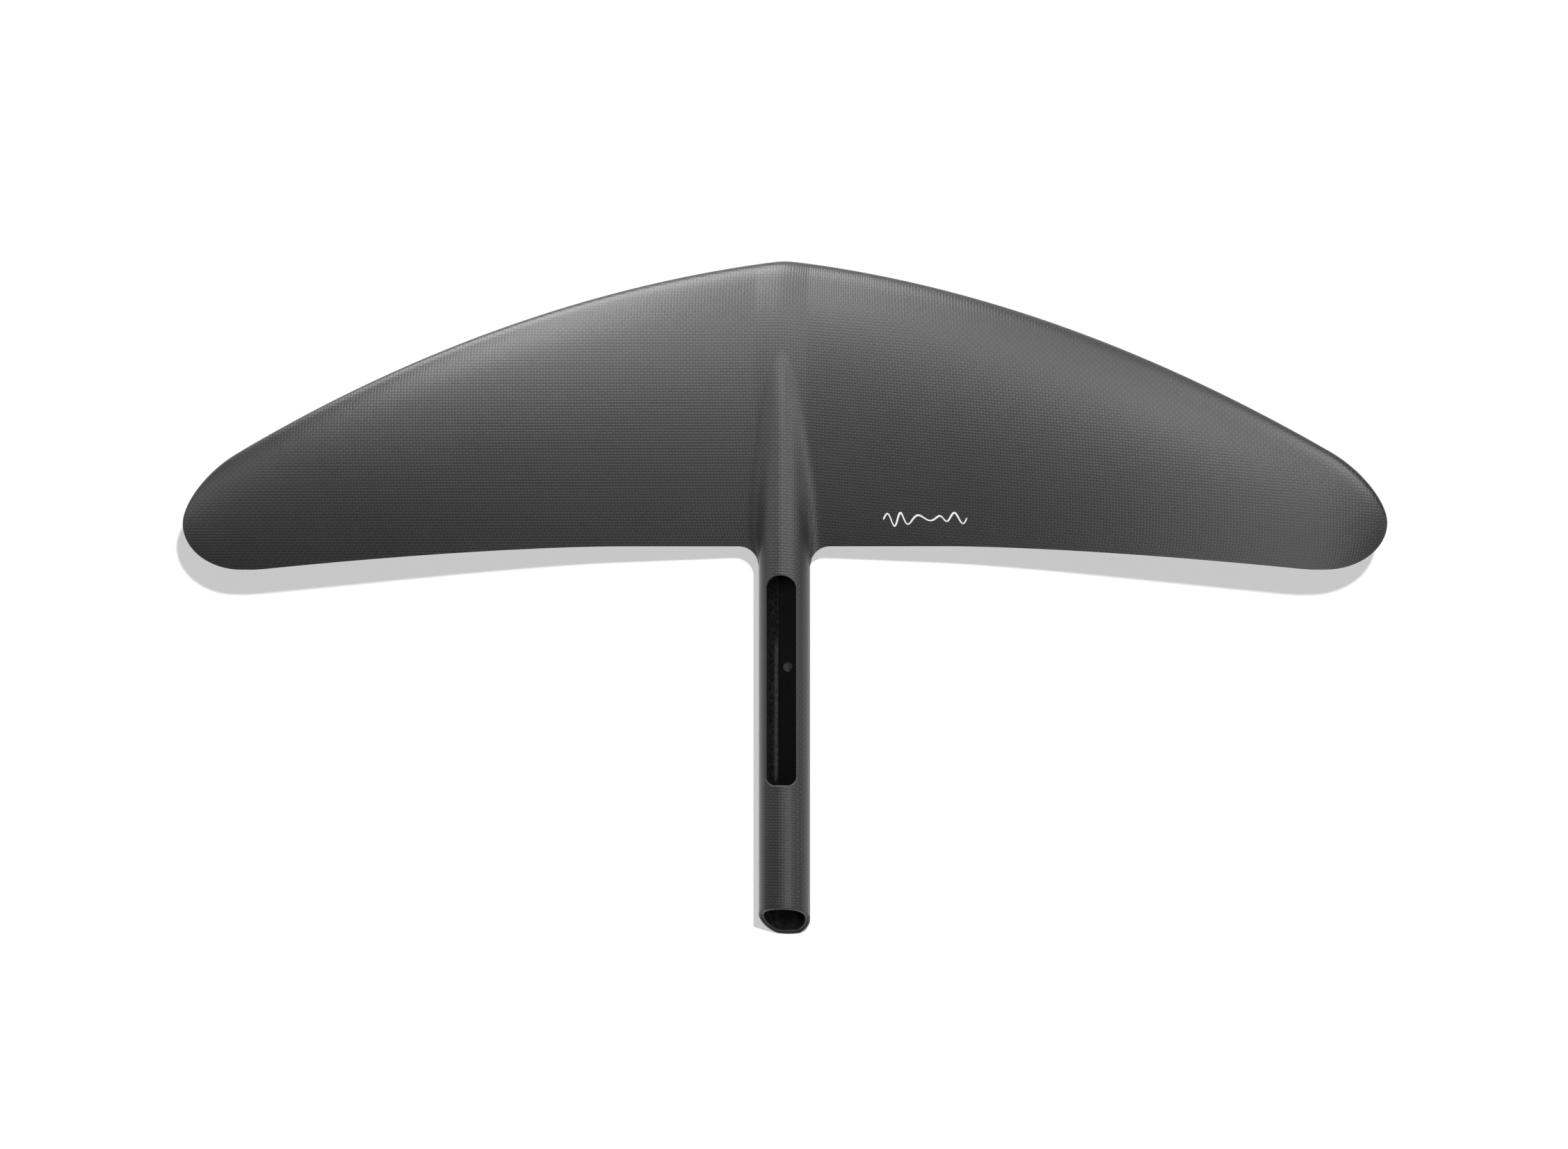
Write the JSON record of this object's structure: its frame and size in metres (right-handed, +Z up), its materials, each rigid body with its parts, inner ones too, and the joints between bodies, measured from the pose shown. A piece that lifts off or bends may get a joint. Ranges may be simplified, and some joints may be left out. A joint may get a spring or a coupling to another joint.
{
  "type": "hydrofoil front wing with fuselage",
  "caption": "Crescent front wing of a surf hydrofoil in woven carbon, with an integral hollow fuselage, a mast slot in its top and an open slanted tail end.",
  "frame": {"origin": "middle of the span and of the fore-and-aft length, at the level of the flat belly", "axes": "+X along the span to starboard, +Y forward to the nose, +Z up"},
  "size_m": [0.8806, 0.4876, 0.0525],
  "materials": {
    "carbon": "satin clear coat over plain weave carbon",
    "duct": "glossy moulded carbon laminate",
    "foam": "closed-cell core",
    "resin": "filled resin",
    "spar": "unidirectional laminate",
    "steel": "brushed",
    "paint": "thin white paint"
  },
  "bodies": {
    "root": {"wing_upper_skin": "carbon", "wing_lower_skin": "carbon", "fuselage_top": "carbon", "fuselage_bottom": "carbon", "duct_sleeve": "duct", "duct_bulkhead": "duct", "mast_screw_bush": "steel", "tail_screw_bush": "steel", "size_mark": "paint", "spar_cap_upper": "spar", "spar_cap_lower": "spar", "spar_web": "spar", "nose_plug": "resin", "nose_block": "foam", "root_rib_left": "spar", "root_rib_right": "spar", "front_core_left": "foam", "front_core_right": "foam", "rear_core_left": "foam", "rear_core_right": "foam", "nose_strip_left": "resin", "nose_strip_right": "resin", "rear_strip_left": "resin", "rear_strip_right": "resin", "tip_block_left": "resin", "tip_block_right": "resin"}
  },
  "joints": []
}
